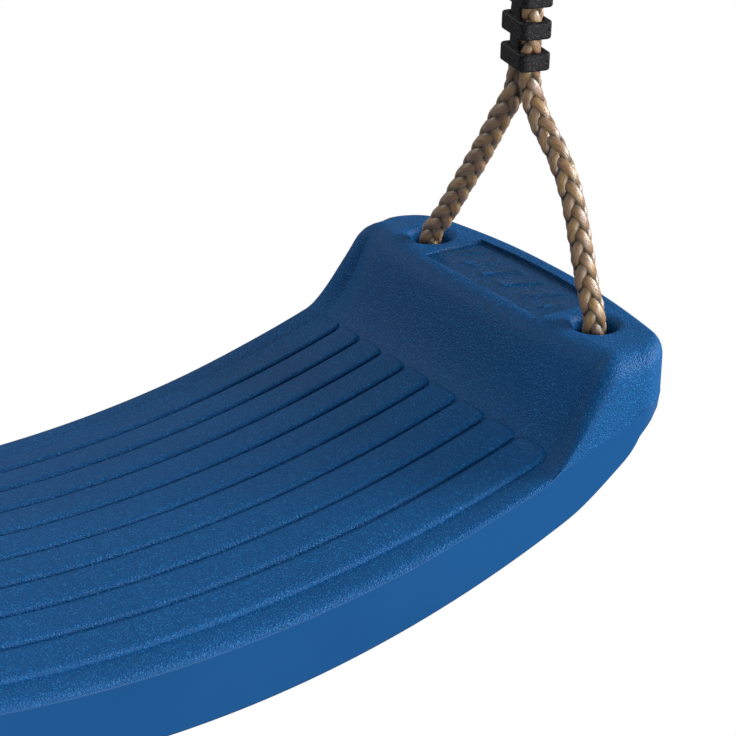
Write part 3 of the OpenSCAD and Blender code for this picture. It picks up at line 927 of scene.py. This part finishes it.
def rope_finish(name, light, painted_shade):
    """Shiny hemp-like fibres, with painted shade where strands dive under each other"""
    s = Shader(name)
    fibre = s.node("ShaderNodeAttribute", attribute_name="fibre")
    crest = s.node("ShaderNodeAttribute", attribute_name="crest")
    streak = s.group(bpy.data.node_groups["Fibres"])
    s.join(fibre.outputs["Vector"], streak.inputs["Vector"])
    gradient = s.node("ShaderNodeValToRGB")
    for element, place, strength in zip(gradient.color_ramp.elements, (0.32, 0.68), (0.42, 1.45)):
        element.position = place
        element.color = (*[min(c * strength, 1) for c in light], 1)
    s.join(streak.outputs["Streak"], gradient.inputs["Fac"])
    toned = s.node("ShaderNodeHueSaturation")
    s.join(gradient.outputs["Color"], toned.inputs["Color"])
    # Tone varies about a half: it shifts value the most, then saturation, and hue a little
    for socket, strength, start in (("Value", 1, 0.5), ("Saturation", 0.6, 0.75), ("Hue", 0.06, 0.465)):
        scaled = math_node(s.tree, "MULTIPLY", streak.outputs["Tone"], strength)
        s.join(math_node(s.tree, "ADD", scaled, start), toned.inputs[socket])
    # Painted shade: the crest values mix in the shade colour where strands dive and along their edges
    mixed = s.node("ShaderNodeMix", data_type="RGBA")
    mixed.inputs["A"].default_value = (*painted_shade, 1)
    weight = s.node("ShaderNodeMapRange")
    set_inputs(weight, From_Min=0.3, From_Max=0.92)
    s.join(crest.outputs["Fac"], weight.inputs["Value"])
    s.join(weight.outputs["Result"], mixed.inputs["Factor"])
    s.join(toned.outputs["Color"], mixed.inputs["B"])
    s.join(mixed.outputs["Result"], s.surface.inputs["Base Color"])
    bump = s.node("ShaderNodeBump")
    set_inputs(bump, Strength=0.7, Distance=0.25 * MM)
    s.join(streak.outputs["Streak"], bump.inputs["Height"])
    s.join(bump.outputs["Normal"], s.surface.inputs["Normal"])
    rough = math_node(s.tree, "MULTIPLY", streak.outputs["Streak"], 0.4)
    s.join(math_node(s.tree, "ADD", rough, 0.18), s.surface.inputs["Roughness"])
    set_inputs(s.surface, Specular_IOR_Level=1.0, Coat_Weight=0.35, Coat_Roughness=0.28, Sheen_Weight=0.1)
    return s.material


class SWING_OT_ropes(bpy.types.Operator):
    """Braided rope of each side, from under the block up through the clamp and round the thimble"""

    bl_idname = "swing.ropes"
    bl_label = "Ropes"

    def execute(self, context):
        rope = in_millimetres(context.scene.swing_rope)
        colours = context.scene.swing_colours
        fibre_group()
        finish = rope_finish("Rope", colours.rope, colours.rope_painted_shade)
        for name, side in SIDES.items():
            obj = braid(f"{name}_braid", side, rope)
            obj.data.materials.append(finish)
            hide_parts(f"{name}_rope", f"{name}_rope_underseat")
            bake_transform(obj)
        return {"FINISHED"}


# ---------------------------------------------------------------- clamp

CLAMP_TALL = (CLAMP_HIGH.z - CLAMP_LOW.z) / MM
RIBS, RIB_PITCH, RIB_THICK = 4, 12.6, 7.0
RIB_DEPTH, RIB_WIDTH, RIB_CORNER, RIB_SOFT = 13.2, 21.4, 2.9, 0.8
CORE_DEPTH, CORE_WIDTH, CORE_CORNER = 10.6, 9.6, 2.0
SLOT_RADIUS = 4.85
WINDOW_DEPTH = 9.4
# Small dimples on each rib's front: place across, place up and radius
DIMPLES = ((4.3, 0.4, 0.55), (4.6, -1.9, 0.3))


def rounded_outline(depth, width, radius, steps=6):
    """Corner-rounded rectangle about the origin, as points in millimetres"""
    outline = []
    for k, (sx, sy) in enumerate(((1, 1), (-1, 1), (-1, -1), (1, -1))):
        for i in range(steps + 1):
            angle = math.pi / 2 * (k + i / steps)
            outline.append((
                sx * (depth / 2 - radius) + radius * math.cos(angle),
                sy * (width / 2 - radius) + radius * math.sin(angle),
            ))
    return outline


def clamp_body(name):
    """Ribs on a narrower core, in millimetres, standing on its foot"""
    bm = bmesh.new()
    loops = []

    def add(depth, width, radius, z):
        loops.append([bm.verts.new((x, y, z)) for x, y in rounded_outline(depth, width, radius)])

    for i in range(RIBS):
        z = i * RIB_PITCH
        if i:
            add(CORE_DEPTH, CORE_WIDTH, CORE_CORNER, z - 0.4)
            add(CORE_DEPTH + 0.5, CORE_WIDTH + 0.5, CORE_CORNER + 0.1, z)
        turns = [math.pi / 2 * k / 3 for k in range(4)]
        for face, way, angles in ((z, 1, turns), (z + RIB_THICK, -1, reversed(turns))):
            for angle in angles:
                inset = RIB_SOFT * (1 - math.sin(angle))
                rise = way * RIB_SOFT * (1 - math.cos(angle))
                add(RIB_DEPTH - 2 * inset, RIB_WIDTH - 2 * inset, RIB_CORNER - inset, face + rise)
        if i < RIBS - 1:
            add(CORE_DEPTH + 0.5, CORE_WIDTH + 0.5, CORE_CORNER + 0.1, z + RIB_THICK)
            add(CORE_DEPTH, CORE_WIDTH, CORE_CORNER, z + RIB_THICK + 0.4)
    return closed_loft(name, bm, loops)


def slot_cutter():
    """Long hole through the clamp for the rope's two runs, flared at both ends"""
    bm = bmesh.new()
    rings = []
    for z, flare in ((-2, 1.6), (0.9, 0), (CLAMP_TALL - 0.9, 0), (CLAMP_TALL + 2, 1.6)):
        r = SLOT_RADIUS + flare
        rings.append([
            bm.verts.new((r * math.cos(a), math.copysign(NIP, math.sin(a)) + r * math.sin(a), z))
            for a in [2 * math.pi * (k + 0.5) / 32 for k in range(32)]
        ])
    return closed_loft("slot cutter", bm, rings)


def clamp_mesh(name, side):
    """Ribbed clamp with a slot for two runs of rope, windows between its ribs and dimples"""
    obj = clamp_body(name)
    cut(obj, slot_cutter())
    window = RIB_PITCH - RIB_THICK
    for i in range(RIBS - 1):
        deselect()
        bpy.ops.mesh.primitive_cube_add(size=1, location=(0, 0, i * RIB_PITCH + RIB_THICK + window / 2))
        bpy.context.object.scale = (WINDOW_DEPTH, 2 * RIB_WIDTH, window - 0.04)
        bpy.ops.object.transform_apply(location=True, rotation=False, scale=True)
        cut(obj, bpy.context.object)
    for i in range(RIBS):
        for dx, dz, r in DIMPLES:
            deselect()
            bpy.ops.mesh.primitive_cylinder_add(
                vertices=16, radius=r, depth=1.2, rotation=(math.pi / 2, 0, 0),
                location=(dx, -RIB_WIDTH / 2, i * RIB_PITCH + RIB_THICK / 2 + dz),
            )
            cut(obj, bpy.context.object)
    centre = (CLAMP_LOW + CLAMP_HIGH) / 2
    place = Matrix.Translation((side * LINE_X + centre.x - LINE_X, centre.y, CLAMP_LOW.z))
    obj.data.transform(place @ Matrix.Rotation(CLAMP_TURN, 4, "Z") @ Matrix.Scale(MM, 4))
    smooth_by_angle(obj, 35)
    weigh_normals(obj)
    return obj


class SWING_OT_clamps(bpy.types.Operator):
    """Ribbed clamps that hold the two runs of each rope together"""

    bl_idname = "swing.clamps"
    bl_label = "Clamps"

    def execute(self, context):
        colours = context.scene.swing_colours
        # The clamp's grain gets grey painted glints on its pebbles' tops
        finish = moulded("Clamp", colours.clamp, shared_groups(), grain=0.05, roughness=0.45,
                         size=1600.0, tone=0.5, painted_glint=(0.06, 0.06, 0.065))
        for name, side in SIDES.items():
            obj = clamp_mesh(f"{name}_ribbed_clamp", side)
            obj.data.materials.append(finish)
            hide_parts(f"{name}_clamp")
            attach(obj, f"{name}_line")
        return {"FINISHED"}


# ---------------------------------------------------------------- steel fittings


def zinc_finish(name, base_colour, spangle, roughness):
    """Zinc coat: crystals of slightly different tone, fine scratches and dull patches"""
    s = Shader(name)
    place = s.node("ShaderNodeTexCoord").outputs["Object"]
    cells = s.node("ShaderNodeTexVoronoi")
    set_inputs(cells, Scale=spangle)
    s.join(place, cells.inputs["Vector"])
    grey = s.node("ShaderNodeSeparateColor")
    s.join(cells.outputs["Color"], grey.inputs["Color"])
    shade = s.group(bpy.data.node_groups["Tone"], Colour=(*base_colour, 1), Size=60.0, Depth=0.5)
    s.join(place, shade.inputs["Vector"])
    toned = s.node("ShaderNodeHueSaturation")
    s.join(shade.outputs["Colour"], toned.inputs["Color"])
    lift = math_node(s.tree, "MULTIPLY", grey.outputs["Red"], 0.25)
    s.join(math_node(s.tree, "ADD", lift, 0.85), toned.inputs["Value"])
    s.join(toned.outputs["Color"], s.surface.inputs["Base Color"])
    scratch = s.node("ShaderNodeTexNoise")
    set_inputs(scratch, Scale=900, Detail=6)
    s.join(place, scratch.inputs["Vector"])
    bump = s.node("ShaderNodeBump")
    set_inputs(bump, Strength=0.25, Distance=0.03 * MM)
    s.join(scratch.outputs["Fac"], bump.inputs["Height"])
    s.join(bump.outputs["Normal"], s.surface.inputs["Normal"])
    spread = math_node(s.tree, "MULTIPLY", shade.outputs["Mask"], 0.3)
    facets = math_node(s.tree, "MULTIPLY", grey.outputs["Green"], 0.12)
    total = math_node(s.tree, "ADD", spread, facets)
    s.join(math_node(s.tree, "ADD", total, roughness - 0.2), s.surface.inputs["Roughness"])
    set_inputs(s.surface, Metallic=1)
    return s.material


class SWING_OT_fittings(bpy.types.Operator):
    """Finishes of hangers, bolts, hooks, rings and thimbles"""

    bl_idname = "swing.fittings"
    bl_label = "Fittings"

    def execute(self, context):
        colours = context.scene.swing_colours
        groups = shared_groups()
        rod = zinc_finish("Zinc rod", colours.zinc, 260, 0.4)
        sheet = zinc_finish("Zinc sheet", colours.zinc, 120, 0.38)
        fastener = zinc_finish("Zinc fastener", [c * 1.15 for c in colours.zinc], 500, 0.3)
        # The nylon's fine grain gets the default bluish painted glints
        nylon = moulded("Nylon", colours.nylon, groups, grain=0.02, roughness=0.35, tone=0.1)
        finishes = {
            "hanger": sheet, "thimble": sheet, "gate": sheet,
            "hook": rod, "ring": rod,
            "pivot_bolt": fastener, "lock_nut": fastener, "gate_pin": fastener,
            "bush": nylon,
        }
        for side in SIDES:
            for piece, finish in finishes.items():
                obj = bpy.data.objects[f"{side}_{piece}"]
                for slot in obj.material_slots:
                    slot.material = finish
        return {"FINISHED"}


# ---------------------------------------------------------------- stage


# The camera's turn, downward tilt and roll in degrees, and its place from the seat's middle in metres
CAMERA_YAW, CAMERA_PITCH, CAMERA_ROLL = 35.484, 25.586, 1.154
CAMERA_PLACE = (-0.3441, -0.6604, 0.4207)
SENSOR, LENS = 36, 111.2429
# Each light's place from its target in metres, size in metres and power in watts
LIGHTS = {
    "Key": ((1.0, -0.45, 0.5), 0.35, 17),
    "Front": ((0.05, -1.3, 0.1), 0.9, 13),
    "Back": ((-0.35, 0.9, 0.8), 0.8, 4.5),
}
LIGHT_TARGET_X = 0.15
BACKDROP_RADIUS = 7
SURROUNDINGS = 0.25


class SWING_OT_stage(bpy.types.Operator):
    """White backdrop all round the hanging swing, soft lights and camera"""

    bl_idname = "swing.stage"
    bl_label = "Stage"

    def execute(self, context):
        scene = context.scene
        seat_zero = BLOCK_TOP - scene.swing_seat.block_height
        camera = bpy.data.objects.new("Camera", bpy.data.cameras.new("Camera"))
        scene.collection.objects.link(camera)
        yaw, pitch, roll = (math.radians(a) for a in (CAMERA_YAW, CAMERA_PITCH, CAMERA_ROLL))
        ahead = Vector((math.sin(yaw), math.cos(yaw), 0))
        forward = ahead * math.cos(pitch) - Vector((0, 0, math.sin(pitch)))
        level = Vector((math.cos(yaw), -math.sin(yaw), 0))
        lift = level.cross(forward)
        right = level * math.cos(roll) + lift * math.sin(roll)
        up = lift * math.cos(roll) - level * math.sin(roll)
        place = Vector(CAMERA_PLACE) + Vector((0, 0, seat_zero))
        axes = Matrix((right, up, -forward)).transposed().to_4x4()
        camera.matrix_world = Matrix.Translation(place) @ axes
        camera.data.sensor_width = SENSOR
        camera.data.lens = LENS
        camera.data.clip_start = 0.01
        scene.camera = camera

        world = bpy.data.worlds.new("Surroundings")
        scene.world = world
        world.use_nodes = True
        sky = world.node_tree.nodes["Background"]
        set_inputs(sky, Color=(1, 1, 1, 1), Strength=SURROUNDINGS)

        deselect()
        bpy.ops.mesh.primitive_ico_sphere_add(subdivisions=4, radius=BACKDROP_RADIUS)
        backdrop = context.object
        backdrop.name = "backdrop"
        paper = Shader("Backdrop")
        set_inputs(paper.surface, Base_Color=(0, 0, 0, 1), Specular_IOR_Level=0)
        set_inputs(paper.surface, Emission_Color=(1, 1, 1, 1), Emission_Strength=1)
        backdrop.data.materials.append(paper.material)
        backdrop.visible_diffuse = False
        backdrop.visible_glossy = False
        backdrop.visible_transmission = False
        backdrop.visible_shadow = False

        target = Vector((LIGHT_TARGET_X, 0, seat_zero))
        for name, (place, size, power) in LIGHTS.items():
            lamp = bpy.data.objects.new(name, bpy.data.lights.new(name, "AREA"))
            scene.collection.objects.link(lamp)
            lamp.data.size = size
            lamp.data.energy = power
            lamp.location = target + Vector(place)
            lamp.rotation_mode = "QUATERNION"
            lamp.rotation_quaternion = Vector(place).to_track_quat("Z", "Y")
        scene.view_settings.view_transform = "Standard"
        return {"FINISHED"}


class SWING_PT_panel(bpy.types.Panel):
    """Lists the swing's pieces"""

    bl_label = "Swing"
    bl_idname = "SWING_PT_panel"
    bl_space_type = "VIEW_3D"
    bl_region_type = "UI"
    bl_category = "Swing"

    def draw(self, context):
        for operator in OPERATORS:
            self.layout.operator(operator.bl_idname)


SETTINGS = {
    "swing_seat": SwingSeatSettings,
    "swing_rope": SwingRopeSettings,
    "swing_colours": SwingColours,
}
OPERATORS = (
    SWING_OT_stage,
    SWING_OT_ropes,
    SWING_OT_seat,
    SWING_OT_clamps,
    SWING_OT_fittings,
)


def register():
    """Adds the settings, the operators and the panel"""
    for name, group in SETTINGS.items():
        bpy.utils.register_class(group)
        setattr(bpy.types.Scene, name, PointerProperty(type=group))
    for item in (*OPERATORS, SWING_PT_panel):
        bpy.utils.register_class(item)


def unregister():
    """Takes away what register added"""
    for item in (SWING_PT_panel, *reversed(OPERATORS)):
        bpy.utils.unregister_class(item)
    for name, group in SETTINGS.items():
        delattr(bpy.types.Scene, name)
        bpy.utils.unregister_class(group)


def main():
    """Builds the scene"""
    register()
    bpy.ops.swing.stage()
    bpy.ops.swing.ropes()
    bpy.ops.swing.seat()
    bpy.ops.swing.clamps()
    bpy.ops.swing.fittings()


if __name__ == "__main__":
    main()
